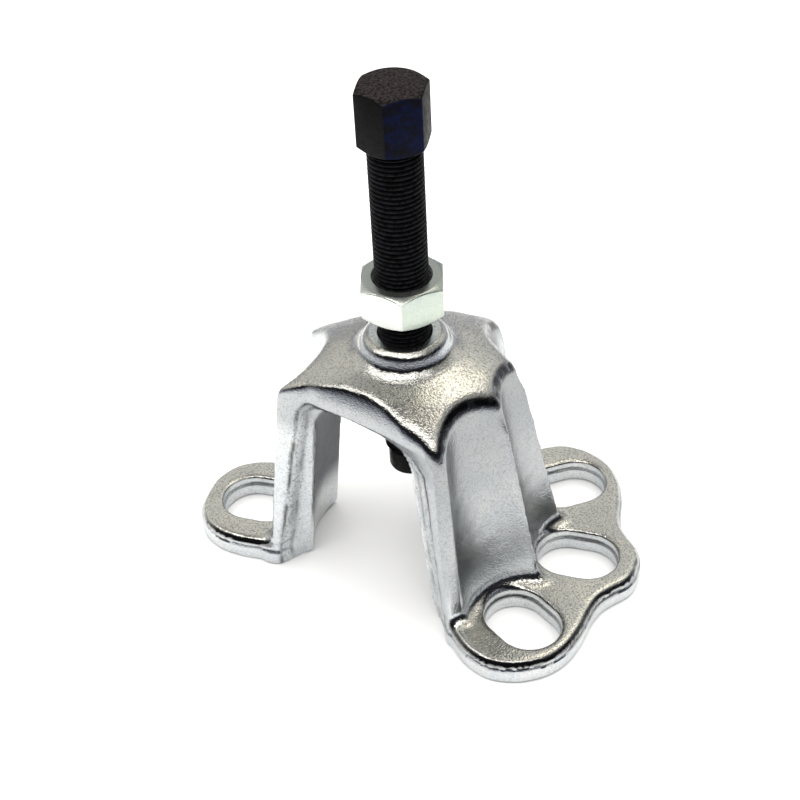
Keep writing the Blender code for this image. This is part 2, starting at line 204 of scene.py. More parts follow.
def wall_section(height):
    """The yoke's outer outline at one height."""
    rib = between(RIB_MIDDLE, height)
    channel = between(RIB_NARROW_CHANNEL, height)
    depth = rib[0] - between(GROOVE_FLOOR_WIDE, height)
    half = arc_through((rib[0], -rib[1]), rib, -depth, GROOVE_STEPS)[GROOVE_STEPS // 2:]
    half += arc_through(rib, between(RIB_OUTER_GROOVE, height), -OUTER_GROOVE_DEPTH, GROOVE_STEPS)[1:]
    front = [between(table, height) for table in
             (RIB_OUTER_FRONT, ARCH_RIGHT, ARCH_MIDDLE, ARCH_LEFT, PARTING_LEFT, RIB_NARROW_FRONT)]
    half += smooth_curve(front, FRONT_STEPS)
    depth = between(GROOVE_FLOOR_NARROW, height) - channel[0]
    back = arc_through(channel, (channel[0], -channel[1]), -depth, GROOVE_STEPS)
    half += back[:GROOVE_STEPS // 2 + 1]
    return mirrored_loop(half)


# ---------------------------------------------------------------- distance fields

def smoothstep(low, high, values):
    t = np.clip((values - low) / (high - low), 0.0, 1.0)
    return t * t * (3.0 - 2.0 * t)


def outline_distance(loop, x, y):
    """Signed distance from the points of a grid to a closed outline, negative inside."""
    nearest = np.full(np.broadcast(x, y).shape, 1e9, np.float32)
    inside = np.zeros(nearest.shape, bool)
    for (ax, ay), (bx, by) in zip(loop, loop[1:] + loop[:1]):
        ex, ey = bx - ax, by - ay
        px, py = x - ax, y - ay
        t = np.clip((px * ex + py * ey) / (ex * ex + ey * ey), 0.0, 1.0)
        np.minimum(nearest, (px - t * ex) ** 2 + (py - t * ey) ** 2, out=nearest)
        if ay != by:
            inside ^= ((ay > y) != (by > y)) & (px < py * ex / ey)
    return np.where(inside, -1.0, 1.0).astype(np.float32) * np.sqrt(nearest)


def slot_distance(x, y):
    """Signed distance in plan to the nearest of the four stud slots, negative inside it."""
    nearest = np.full(np.broadcast(x, y).shape, 1e9, np.float32)
    for direction in SLOT_DEGREES:
        ux, uy = cos(radians(direction)), sin(radians(direction))
        along = x * ux + y * uy
        beyond = along - np.clip(along, SLOT_INNER, SLOT_OUTER)
        nearest = np.minimum(nearest, np.hypot(beyond, y * ux - x * uy) - SLOT_HALF_WIDTH)
    return nearest


def softened(field, passes):
    """The field averaged over its neighbours in plan, which rounds the corners of the outline."""
    for axis in (0, 1) * passes:
        padded = np.concatenate([np.take(field, [0], axis), field, np.take(field, [-1], axis)], axis)
        n = padded.shape[axis]
        field = (np.take(padded, range(0, n - 2), axis) + 6.0 * field
                 + np.take(padded, range(2, n), axis)) / 8.0
    return field


def round_and(a, b, radius):
    """What two fields share, with a rounded edge where they meet."""
    return np.minimum(np.maximum(a, b), -radius) + np.hypot(np.maximum(a + radius, 0.0),
                                                            np.maximum(b + radius, 0.0))


def round_or(a, b, radius):
    """Two fields joined, with a fillet where they meet."""
    return -round_and(-a, -b, radius)


def yoke_field():
    """Distance field of the forging over a grid, with the grid's three axes."""
    margin = 3.0 * CELL
    xs = np.arange(YOKE_LOW.x - margin, YOKE_HIGH.x + margin, CELL, np.float32)
    half = int(np.ceil((YOKE_HIGH.y + margin) / CELL))
    ys = (np.arange(-half, 1) * CELL).astype(np.float32)
    zs = np.arange(-margin, BOSS_TOP + margin, CELL, np.float32)
    x, y = xs[:, None], ys[None, :]
    wide_leg = smoothstep(4.0, 12.0, x)
    slices = []
    for height, passes in zip(SLICE_HEIGHTS, SLICE_SOFTNESS):
        crisp = softened(outline_distance(wall_section(height), x, y), min(passes, 2))
        slices.append(crisp + wide_leg * (softened(crisp, passes) - crisp) if passes > 2 else crisp)
    wide = mirrored_loop(smooth_curve([(FOOT_END_R, 0.0)] + WIDE_FOOT, 4))
    narrow = mirrored_loop(smooth_curve(NARROW_FOOT + [(-FOOT_END_R, 0.0)], 4))
    foot_edge = np.minimum(outline_distance(wide, x, y), outline_distance(narrow, x, y))
    slot = slot_distance(x, y)
    radius = np.hypot(x, y)
    grooved = np.maximum(smoothstep(0.46, 0.56, x / radius), smoothstep(0.90, 0.95, -x / radius))
    front = 1.0 - grooved
    bevel = (RIM_BEVEL_FRONT + RIM_BEVEL_TIP * smoothstep(2.0, 13.0, x)) * front
    bevel = bevel + RIM_BEVEL_GROOVE * grooved
    lip = LIP_SLOPE * bevel
    over_arch = RIM_LEDGE * front * smoothstep(-30.0, -20.0, x) * smoothstep(14.0, 6.0, x)
    field = np.empty((len(xs), len(ys), len(zs)), np.float32)
    for k, z in enumerate(zs):
        i = min(max(int(np.searchsorted(SLICE_HEIGHTS, z)), 1), len(SLICE_HEIGHTS) - 1)
        low, high = SLICE_HEIGHTS[i - 1], SLICE_HEIGHTS[i]
        t = (z - low) / (high - low)
        walls = slices[i - 1] * (1.0 - t) + slices[i] * t
        top = (z - DOME_TOP + DOME_DROP * radius ** 2) / np.sqrt(1.0 + (2.0 * DOME_DROP * radius) ** 2)
        flank = BOSS_FLANK[0] * (radius - BOSS_R) + BOSS_FLANK[1] * (z - BOSS_TOP)
        boss = round_and(flank, np.full_like(flank, z - BOSS_TOP), BOSS_ROUND)
        chamfer = BOSS_EDGE[0] * (radius - BOSS_R) + BOSS_EDGE[1] * (z - BOSS_TOP) + BOSS_CHAMFER
        boss = round_and(boss, chamfer, BOSS_ROUND)
        skirt = BOSS_EDGE[0] * (radius - BOSS_SKIRT_R) + BOSS_EDGE[1] * (z - BOSS_SKIRT_Z) - BOSS_SKIRT
        skirt = np.maximum(skirt, z - BOSS_TOP + BOSS_SKIRT_DROP)
        boss = np.maximum(round_or(boss, skirt, BOSS_FILLET), BOSS_ROOT - z)
        ledge = over_arch * smoothstep(67.0, 70.0, z)
        walls = walls + front * RIM_LEAN * max(z - RIM_LEAN_FROM, 0.0) ** 2 - ledge
        rim = round_and(walls, top, RIM_EDGE)
        rim = round_and(rim, (walls + top + bevel) * BEVEL_SLOPE, RIM_EDGE)
        rim = round_and(rim, (LIP_SLOPE * walls + top + lip) * LIP_SCALE, LIP_ROUND)
        body = round_or(rim, boss, BOSS_FILLET)
        above_foot = np.full_like(foot_edge, z - FOOT_THICK)
        foot = round_and(foot_edge, above_foot, FOOT_ROUND)
        foot = round_and(foot, (STEEP[0] * foot_edge + above_foot + FOOT_BEVEL) / STEEP[1], FOOT_ROUND)
        foot = round_and(foot, (GENTLE[0] * foot_edge + above_foot + FOOT_LIP) / GENTLE[1], LIP_ROUND)
        body = round_or(body, foot, FOOT_FILLET)
        body = round_and(body, np.full_like(body, -z), SOLE_ROUND)
        cavity = round_and(radius - CAVITY_FOOT_R + CAVITY_DRAFT * z,
                           np.full_like(radius, z - CROWN_Z), CROWN_ROUND)
        body = round_and(body, -cavity, ARCH_ROUND)
        drafted = slot - SLOT_DRAFT * min(abs(z - FOOT_THICK / 2.0), FOOT_THICK / 2.0)
        body = round_and(body, -drafted, SLOT_ROUND)
        slot_bevel = (SLOT_BEVEL + min(z - FOOT_THICK, 0.0) - STEEP[0] * drafted) / STEEP[1]
        field[:, :, k] = round_and(body, slot_bevel, SLOT_ROUND)
    field = np.concatenate([field, field[:, -2::-1, :]], 1)
    ys = np.concatenate([ys, -ys[-2::-1]])
    return field, xs, ys, zs


def sampled(field, grid):
    """The field's value and gradient at points given in cells, by trilinear interpolation."""
    base = np.clip(np.floor(grid).astype(int), 0, np.array(field.shape) - 2)
    f = (grid - base).astype(np.float32)
    i, j, k = base.T
    fx, fy, fz = f.T
    c = {}
    for dx in (0, 1):
        for dy in (0, 1):
            for dz in (0, 1):
                c[dx, dy, dz] = field[i + dx, j + dy, k + dz]
    x00, x01 = c[0, 0, 0] * (1 - fx) + c[1, 0, 0] * fx, c[0, 0, 1] * (1 - fx) + c[1, 0, 1] * fx
    x10, x11 = c[0, 1, 0] * (1 - fx) + c[1, 1, 0] * fx, c[0, 1, 1] * (1 - fx) + c[1, 1, 1] * fx
    y0, y1 = x00 * (1 - fy) + x10 * fy, x01 * (1 - fy) + x11 * fy
    value = y0 * (1 - fz) + y1 * fz
    gz = y1 - y0
    gy = (x10 - x00) * (1 - fz) + (x11 - x01) * fz
    gx = (((c[1, 0, 0] - c[0, 0, 0]) * (1 - fy) + (c[1, 1, 0] - c[0, 1, 0]) * fy) * (1 - fz)
          + ((c[1, 0, 1] - c[0, 0, 1]) * (1 - fy) + (c[1, 1, 1] - c[0, 1, 1]) * fy) * fz)
    return value, np.stack([gx, gy, gz], 1)


def net_mesh(field, xs, ys, zs):
    """Vertices (mm) and quads of the field's zero surface: one vertex in each cell it crosses."""
    inside = field < 0.0
    nx, ny, nz = field.shape
    count = np.zeros((nx - 1, ny - 1, nz - 1), np.uint8)
    corners = [(dx, dy, dz) for dx in (0, 1) for dy in (0, 1) for dz in (0, 1)]
    for dx, dy, dz in corners:
        count += inside[dx:nx - 1 + dx, dy:ny - 1 + dy, dz:nz - 1 + dz]
    cells = np.argwhere((count > 0) & (count < 8))
    index = np.full(count.shape, -1, np.int64)
    index[tuple(cells.T)] = np.arange(len(cells))
    total = np.zeros((len(cells), 3))
    crossings = np.zeros(len(cells))
    for a in corners:
        for axis in range(3):
            if a[axis]:
                continue
            b = tuple(v + (1 if n == axis else 0) for n, v in enumerate(a))
            fa = field[tuple((cells + a).T)]
            fb = field[tuple((cells + b).T)]
            crossed = (fa < 0.0) != (fb < 0.0)
            t = np.where(crossed, fa / np.where(crossed, fa - fb, 1.0), 0.0)
            point = np.tile(np.array(a, float), (len(cells), 1))
            point[:, axis] = t
            total += point * crossed[:, None]
            crossings += crossed
    grid = cells + total / crossings[:, None]
    for _ in range(3):
        value, slope = sampled(field, grid)
        step = value / np.maximum((slope ** 2).sum(1), 1e-6)
        grid -= np.clip(step[:, None] * slope, -0.3, 0.3)
    quads = []
    for axis in range(3):
        u, v = (axis + 1) % 3, (axis + 2) % 3
        low = [slice(None)] * 3
        high = [slice(None)] * 3
        low[axis], high[axis] = slice(0, -1), slice(1, None)
        a, b = inside[tuple(low)], inside[tuple(high)]
        edges = np.argwhere(a != b)
        leaving = a[tuple(edges.T)]
        ring = []
        for du, dv in ((-1, -1), (0, -1), (0, 0), (-1, 0)):
            cell = edges.copy()
            cell[:, u] += du
            cell[:, v] += dv
            ring.append(index[tuple(cell.T)])
        ring = np.stack(ring, 1)
        ring[~leaving] = ring[~leaving][:, ::-1]
        quads.append(ring)
    origin = np.array([xs[0], ys[0], zs[0]], float)
    return origin + grid * CELL, np.concatenate(quads)


# ---------------------------------------------------------------- mesh helpers

def add_object(name, data):
    thing = bpy.data.objects.new(name, data)
    bpy.context.scene.collection.objects.link(thing)
    return thing


def mesh_object(name, points, faces):
    """An object from points in mm."""
    mesh = bpy.data.meshes.new(name)
    mesh.from_pydata([tuple(p) for p in np.asarray(points, float) * MM], [], faces)
    mesh.validate()
    bm = bmesh.new()
    bm.from_mesh(mesh)
    bmesh.ops.recalc_face_normals(bm, faces=bm.faces)
    bm.to_mesh(mesh)
    bm.free()
    return add_object(name, mesh)


def combine(target, other, operation, solver='EXACT'):
    """Boolean that changes target's own mesh and removes the other object."""
    modifier = target.modifiers.new('cut', 'BOOLEAN')
    modifier.operation = operation
    modifier.solver = solver
    modifier.object = other
    bpy.context.view_layer.update()
    graph = bpy.context.evaluated_depsgraph_get()
    mesh = bpy.data.meshes.new_from_object(target.evaluated_get(graph))
    target.modifiers.clear()
    old = target.data
    target.data = mesh
    bpy.data.meshes.remove(old)
    bpy.data.objects.remove(other, do_unlink=True)


def turned(name, profile, steps=64):
    """A closed solid turned about Z from (radius, height) points in mm, top to bottom on the axis."""
    ring = [(r, z) for r, z in profile if r > 1e-6]
    points = [(0.0, 0.0, profile[0][1]), (0.0, 0.0, profile[-1][1])]
    for r, z in ring:
        points += [(r * cos(2 * pi * i / steps), r * sin(2 * pi * i / steps), z) for i in range(steps)]
    faces = []
    last = 2 + (len(ring) - 1) * steps
    for i in range(steps):
        j = (i + 1) % steps
        faces.append((0, 2 + i, 2 + j))
        faces.append((1, last + j, last + i))
        for k in range(len(ring) - 1):
            a, b = 2 + k * steps, 2 + (k + 1) * steps
            faces.append((a + i, b + i, b + j, a + j))
    return mesh_object(name, points, faces)


def helix(name, crest_r, root_r, bottom, top, steps=64):
    """A closed right-hand threaded bar that reaches past bottom and top."""
    flank = (PITCH - CREST - ROOT) / 2.0
    turn = [(root_r, 0.0), (root_r, ROOT), (crest_r, ROOT + flank), (crest_r, ROOT + flank + CREST)]
    first = int(np.floor(bottom / PITCH)) - 2
    turns = int(np.ceil(top / PITCH)) + 1 - first
    points = []
    for k in range(turns * steps + 1):
        angle = 2.0 * pi * k / steps
        rise = (first + k / steps) * PITCH
        points += [(r * cos(angle), r * sin(angle), rise + z) for r, z in turn]
    size = len(turn)
    last = (turns - 1) * steps

    def at(k, m):
        return (k + steps) * size if m == size else k * size + m

    faces = []
    for k in range(last):
        for m in range(size):
            faces.append((at(k, m), at(k + 1, m), at(k + 1, m + 1), at(k, m + 1)))
    start = [at(k, 0) for k in range(steps + 1)] + [at(0, m) for m in range(size - 1, 0, -1)]
    finish = [at(last, m) for m in range(size)] + [at(k, 0) for k in range(last + steps, last, -1)]
    points += [(0.0, 0.0, first * PITCH - 1.0), (0.0, 0.0, (first + turns) * PITCH + 1.0)]
    for loop, hub in ((start, len(points) - 2), (finish, len(points) - 1)):
        for a, b in zip(loop, loop[1:] + loop[:1]):
            faces.append((a, b, hub))
    thing = mesh_object(name, points, faces)
    drop_loose(thing)
    return thing


def drop_loose(thing):
    """Remove the points that no face uses."""
    bm = bmesh.new()
    bm.from_mesh(thing.data)
    bmesh.ops.delete(bm, geom=[v for v in bm.verts if not v.link_faces], context='VERTS')
    bm.to_mesh(thing.data)
    bm.free()


def hexagon(name, flats, bottom, top, corner_degrees, edge):
    """A hexagon prism turned off at 30 degrees at both ends, with softened edges."""
    corner_r = flats / sqrt(3.0)
    points = []
    for z in (bottom, top):
        points += [(corner_r * cos(radians(corner_degrees + 60.0 * i)),
                    corner_r * sin(radians(corner_degrees + 60.0 * i)), z) for i in range(6)]
    faces = [(i, (i + 1) % 6, 6 + (i + 1) % 6, 6 + i) for i in range(6)]
    faces += [tuple(range(5, -1, -1)), tuple(range(6, 12))]
    body = mesh_object(name, points, faces)
    face_r, outer_r = flats * 0.475, flats * 0.62
    drop = (outer_r - face_r) * tan(radians(30.0))
    profile = [(0.0, top), (face_r, top), (outer_r, top - drop), (outer_r, bottom + drop), (face_r, bottom),
               (0.0, bottom)]
    combine(body, turned('envelope', profile, 96), 'INTERSECT')
    bevel = body.modifiers.new('edges', 'BEVEL')
    bevel.width = edge * MM
    bevel.segments = 2
    bevel.limit_method = 'ANGLE'
    bevel.angle_limit = radians(20.0)
    bevel.use_clamp_overlap = True
    bpy.context.view_layer.update()
    graph = bpy.context.evaluated_depsgraph_get()
    mesh = bpy.data.meshes.new_from_object(body.evaluated_get(graph))
    body.modifiers.clear()
    body.data = mesh
    return body


def shade(thing, angle):
    """Smooth shading that keeps edges sharper than this angle."""
    mesh = thing.data
    mesh.shade_smooth()
    mesh.set_sharp_from_angle(angle=radians(angle))


def coordinates(mesh):
    co = np.empty(len(mesh.vertices) * 3, np.float32)
    mesh.vertices.foreach_get('co', co)
    return co.reshape(-1, 3) / MM


def normals(mesh):
    no = np.empty(len(mesh.vertices) * 3, np.float32)
    mesh.vertex_normals.foreach_get('vector', no)
    return no.reshape(-1, 3)


def set_attribute(mesh, name, values):
    attribute = mesh.attributes.new(name, 'FLOAT', 'POINT')
    attribute.data.foreach_set('value', np.ascontiguousarray(values, np.float32))


def lattice_noise(points, size, seed):
    """Smooth noise between -1 and 1 with features about size mm across."""
    side = 48
    table = np.random.default_rng(seed).uniform(-1.0, 1.0, (side, side, side)).astype(np.float32)
    grid = points / size + 1000.0
    base = np.floor(grid).astype(int)
    f = grid - base
    f = f * f * (3.0 - 2.0 * f)
    value = 0.0
    for dx in (0, 1):
        for dy in (0, 1):
            for dz in (0, 1):
                weight = (np.abs(1 - dx - f[:, 0]) * np.abs(1 - dy - f[:, 1]) * np.abs(1 - dz - f[:, 2]))
                value = value + weight * table[tuple(((base + (dx, dy, dz)) % side).T)]
    return value


# ---------------------------------------------------------------- pieces

def parting_loop():
    """In the XZ plane, the line on the front and back faces where the two forging dies met."""
    left = [(between(PARTING_LEFT, z)[0], z) for z in (0.0, 8.0, 20.0, 38.0, 52.0, 60.0)]
    crown = [(-29.6, 64.6), (-27.0, 67.3), (-18.0, 68.6), (-8.0, 68.7), (0.0, 68.0), (6.0, 66.0)]
    right = []
    for z in (60.0, 50.0, 36.0, 20.0, 8.0, 0.0):
        inner, outer = between(ARCH_RIGHT, z), between(RIB_OUTER_FRONT, z)
        right.append((inner[0] + PARTING_SHARE * (outer[0] - inner[0]), z))
    return [(left[0][0], -20.0)] + left + crown + right + [(right[-1][0], -20.0)]


def make_yoke():
    points, quads = net_mesh(*yoke_field())
    yoke = mesh_object('forged_yoke', points, quads.tolist())
    co, no = coordinates(yoke.data), normals(yoke.data)
    x, y, z = co.T
    # the forging's uneven skin, only ever inwards so that it stays in the CAD solid's box
    skin = 0.06 * lattice_noise(co, 11.0, 1) + 0.05 * lattice_noise(co, 3.4, 2)
    depth = np.clip(0.11 - skin, 0.0, 1.0)
    # the band inside the parting line lies lower on the front and back faces
    ragged = 0.2 * lattice_noise(co, 2.6, 3) + 0.2 * lattice_noise(co, 9.0, 4)
    across = outline_distance(parting_loop(), x, z) + ragged
    facing = smoothstep(0.25, 0.6, no[:, 1] * np.sign(y))
    depth += facing * PARTING_STEP * smoothstep(0.5, -0.5, across)
    patchy = smoothstep(-0.7, 0.3, lattice_noise(co, 4.5, 5))
    parting = facing * patchy * (np.exp(-(across / 0.6) ** 2) + 0.6 * np.exp(-((across + 3.0) / 0.5) ** 2))
    # the trim line round the feet: the upper part of the edge is set back a little
    side = smoothstep(0.55, 0.35, np.abs(no[:, 2])) * smoothstep(8.2, 7.6, z)
    side = side * smoothstep(38.0, 42.0, np.hypot(x, y))
    height = z - TRIM_HEIGHT + 0.5 * lattice_noise(co, 12.0, 6)
    depth += side * TRIM_STEP * smoothstep(-0.5, 0.5, height)
    trim = side * np.exp(-(height / 0.55) ** 2) * smoothstep(-0.7, 0.3, lattice_noise(co, 22.0, 7))
    depth[z < 0.3] = 0.0
    co = np.clip(co - no * depth[:, None], np.array(YOKE_LOW), np.array(YOKE_HIGH))
    yoke.data.vertices.foreach_set('co', (co * MM).astype(np.float32).ravel())
    yoke.data.update()
    set_attribute(yoke.data, 'parting', parting)
    radius = np.hypot(x, y)
    # painted shade: the sloping bevels at the dome's rim over the grooves and along the feet's upper edge are
    # painted dark, more so towards the front, and stored together with the real trim line
    sloping = smoothstep(0.30, 0.42, no[:, 2]) * smoothstep(0.76, 0.68, no[:, 2])
    blotch = smoothstep(-0.6, 0.1, lattice_noise(co, 1.6, 8))
    scallop_shade = smoothstep(62.0, 66.0, z) * smoothstep(0.46, 0.56, x / radius) * blotch
    foot_rim_shade = smoothstep(5.4, 6.4, z) * (z < 8.1) * (0.45 + 0.45 * smoothstep(-10.0, -24.0, y))
    foot_rim_shade *= 0.3 + 0.7 * smoothstep(1.8, 2.6, slot_distance(x, y))
    bevels = sloping * smoothstep(17.0, 19.0, radius) * np.maximum(scallop_shade, foot_rim_shade)
    set_attribute(yoke.data, 'trim', np.maximum(trim, bevels))
    set_attribute(yoke.data, 'upward', smoothstep(0.35, 0.8, no[:, 2]))
    flank = (radius < 17.5) * smoothstep(79.0, 80.0, z) * smoothstep(0.6, 0.5, no[:, 2])
    grainy = smoothstep(0.81, 0.88, no[:, 2]) * (0.7 + 0.3 * smoothstep(20.0, 60.0, z))
    left_dome = smoothstep(6.0, -8.0, x) * smoothstep(60.0, 66.0, z)
    grainy *= 1.0 - 0.5 * left_dome
    set_attribute(yoke.data, 'grainy', np.maximum(grainy, 0.4 * flank))
    # painted shade: the colour is darker inside the arch, in the wide leg's grooves, on the upper front and
    # back faces and on the dome's left; the bore's mouth is greasy
    inward = -(no[:, 0] * x + no[:, 1] * y) / np.maximum(radius, 1.0)
    arch_shade = smoothstep(0.25, 0.6, np.maximum(inward, -no[:, 2])) * smoothstep(9.0, 22.0, z)
    # painted shade in the wide leg's grooves, and on the upper front and back faces
    outer = (0.46 + 0.18 * smoothstep(30.0, 65.0, z)) * smoothstep(0.3, 0.7, -inward * np.sign(x))
    outer = outer * smoothstep(10.0, 26.0, z) * smoothstep(0.8, 0.5, no[:, 2])
    outer = np.maximum(outer * (x > 15.0), 0.4 * facing * smoothstep(52.0, 62.0, z))
    outer = np.maximum(outer, 0.18 * left_dome * smoothstep(0.75, 0.85, no[:, 2]))
    set_attribute(yoke.data, 'painted_shade', np.maximum(arch_shade * smoothstep(70.0, 66.0, z), outer))
    set_attribute(yoke.data, 'rough_line', facing * np.exp(-((across + 1.5) / 2.4) ** 2))
    set_attribute(yoke.data, 'grease', smoothstep(12.0, 10.0, radius) * smoothstep(84.0, 87.0, z))
    flatten_sole(yoke)
    spot = turned('spot_face', [(0.0, 92.0), (11.7, 92.0), (11.5, SPOT_FACE_Z), (0.0, SPOT_FACE_Z)], 96)
    combine(yoke, spot, 'DIFFERENCE', 'MANIFOLD')
    bore = helix('bore_thread', MAJOR_R + THREAD_PLAY, MINOR_R + THREAD_PLAY, CROWN_Z - 3.0, BOSS_TOP + 3.0)
    combine(yoke, bore, 'DIFFERENCE', 'MANIFOLD')
    mouths = turned('mouths', [(0.0, 90.0), (10.7, 90.0), (7.0, 86.3), (7.0, 64.2), (9.0, 61.9),
                               (0.0, 61.9)], 96)
    combine(yoke, mouths, 'DIFFERENCE', 'MANIFOLD')
    shade(yoke, 38.0)
    return yoke


def flatten_sole(thing):
    """Merge the small faces of the flat sole into large ones."""
    bm = bmesh.new()
    bm.from_mesh(thing.data)
    sole = [f for f in bm.faces if f.normal.z < -0.9999 and f.calc_center_median().z < 0.05 * MM]
    edges = list(dict.fromkeys(e for f in sole for e in f.edges))
    verts = list(dict.fromkeys(v for f in sole for v in f.verts))
    bmesh.ops.dissolve_limit(bm, angle_limit=radians(0.5), verts=verts, edges=edges)
    bm.to_mesh(thing.data)
    bm.free()


def make_screw():
    bottom, top = SCREW_LOW.z, HEAD_BOTTOM + 1.0
    screw = helix('threaded_screw', MAJOR_R, MINOR_R, bottom, top)
    envelope = turned('envelope', [(0.0, top), (8.4, top), (8.4, bottom + 1.4), (7.0, bottom),
                                   (0.0, bottom)], 64)
    combine(screw, envelope, 'INTERSECT', 'MANIFOLD')
    head = hexagon('head', HEAD_FLATS, HEAD_BOTTOM, SCREW_HIGH.z, HEAD_CORNER_DEG, 0.35)
    combine(screw, head, 'UNION', 'MANIFOLD')
    shade(screw, 28.0)
    x, y, heights = coordinates(screw.data).T
    facing = normals(screw.data)
    # one flat of the head, the one turned to the front right, gets a painted bluish reflection, and the
    # crests of the thread are lighter: wear and a painted highlight
    flat = radians(HEAD_CORNER_DEG - 30.0)
    towards = facing[:, 0] * cos(flat) + facing[:, 1] * sin(flat)
    set_attribute(screw.data, 'head', smoothstep(HEAD_BOTTOM - 1.0, HEAD_BOTTOM, heights))
    set_attribute(screw.data, 'crest', smoothstep(7.3, 7.9, np.hypot(x, y)) * (heights < HEAD_BOTTOM - 0.5))
    set_attribute(screw.data, 'painted_blue_sheen', smoothstep(0.6, 0.9, towards) * smoothstep(150.0, 153.0, heights))
    set_attribute(screw.data, 'upward', smoothstep(0.5, 0.9, facing[:, 2]) * (heights > HEAD_BOTTOM + 5.0))
    return screw


def make_point():
    low, high = POINT_LOW.z, POINT_HIGH.z
    profile = [(0.0, high), (POINT_R - 0.3, high), (POINT_R, high - 0.3), (POINT_R, low + 0.9),
               (POINT_R - 0.25, low + 0.4), (POINT_R - 0.9, low), (0.0, low)]
    point = turned('dog_point', profile, 96)
    shade(point, 28.0)
    return point


def make_nut():
    nut = hexagon('zinc_lock_nut', NUT_FLATS, NUT_LOW.z, NUT_HIGH.z, NUT_CORNER_DEG, 0.22)
    bore = helix('nut_thread', MAJOR_R + THREAD_PLAY, MINOR_R + THREAD_PLAY,
                 NUT_LOW.z - 3.0, NUT_HIGH.z + 3.0)
    combine(nut, bore, 'DIFFERENCE', 'MANIFOLD')
    high, low = NUT_HIGH.z, NUT_LOW.z
    mouths = turned('mouths', [(0.0, high + 1.0), (10.1, high + 1.0), (7.0, high - 2.1),
                               (7.0, low + 2.1), (10.1, low - 1.0), (0.0, low - 1.0)], 96)
    combine(nut, mouths, 'DIFFERENCE', 'MANIFOLD')
    shade(nut, 28.0)
    heights = coordinates(nut.data)[:, 2]
    set_attribute(nut.data, 'upward', (heights > NUT_HIGH.z - 0.3).astype(float))
    # painted shade: the flats that face +X are marked for a darker colour
    set_attribute(nut.data, 'painted_side_shade', smoothstep(-0.2, 0.6, normals(nut.data)[:, 0]))
    return nut


yoke = make_yoke()
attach(yoke, "yoke")
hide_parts("yoke")
screw = make_screw()
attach(screw, "screw")
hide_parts("forcing_screw")
point = make_point()
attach(point, "point")
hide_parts("screw_point")
nut = make_nut()
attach(nut, "nut")
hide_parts("lock_nut")


# ---------------------------------------------------------------- materials

class Nodes:
    """Short names for building a material's node tree."""

    def __init__(self, name):
        self.material = bpy.data.materials.new(name)
        self.material.use_nodes = True
        self.tree = self.material.node_tree
        self.shader = self.tree.nodes['Principled BSDF']
        self.where = self.add('ShaderNodeTexCoord').outputs['Object']

    def add(self, kind, **settings):
        node = self.tree.nodes.new(kind)
        for key, value in settings.items():
            setattr(node, key, value)
        return node

    def link(self, value, socket):
        if isinstance(value, bpy.types.NodeSocket):
            self.tree.links.new(value, socket)
        else:
            socket.default_value = value

    def noise(self, size_mm, detail=3.0, rough=0.55, vector=None):
        node = self.add('ShaderNodeTexNoise')
        node.inputs['Scale'].default_value = 1000.0 / size_mm
        node.inputs['Detail'].default_value = detail
        node.inputs['Roughness'].default_value = rough
        self.link(vector or self.where, node.inputs['Vector'])
        return node.outputs['Fac']

    def cells(self, size_mm, feature='F1'):
        node = self.add('ShaderNodeTexVoronoi', feature=feature)
        node.inputs['Scale'].default_value = 1000.0 / size_mm
        self.link(self.where, node.inputs['Vector'])
        return node.outputs['Distance']

    def attribute(self, name):
        return self.add('ShaderNodeAttribute', attribute_name=name).outputs['Fac']

    def ramp(self, value, low, high, to_low=0.0, to_high=1.0):
        node = self.add('ShaderNodeMapRange', interpolation_type='SMOOTHSTEP')
        self.link(value, node.inputs['Value'])
        for key, number in (('From Min', low), ('From Max', high), ('To Min', to_low), ('To Max', to_high)):
            node.inputs[key].default_value = number
        return node.outputs['Result']

    def math(self, operation, a, b):
        node = self.add('ShaderNodeMath', operation=operation)
        self.link(a, node.inputs[0])
        self.link(b, node.inputs[1])
        return node.outputs[0]

    def mix(self, factor, a, b):
        node = self.add('ShaderNodeMix', data_type='RGBA')
        self.link(factor, node.inputs['Factor'])
        self.link(a, node.inputs['A'])
        self.link(b, node.inputs['B'])
        return node.outputs['Result']

    def bump(self, height, strength, distance_mm, base=None):
        node = self.add('ShaderNodeBump')
        node.inputs['Strength'].default_value = strength
        node.inputs['Distance'].default_value = distance_mm * MM
        self.link(height, node.inputs['Height'])
        if base is not None:
            self.link(base, node.inputs['Normal'])
        return node.outputs['Normal']

    def finish(self, **sockets):
        for key, value in sockets.items():
            self.link(value, self.shader.inputs[key.replace('_', ' ')])
        return self.material


def grey(value, tint=(0.0, 0.0, 0.0)):
    return (value + tint[0], value + tint[1], value + tint[2], 1.0)


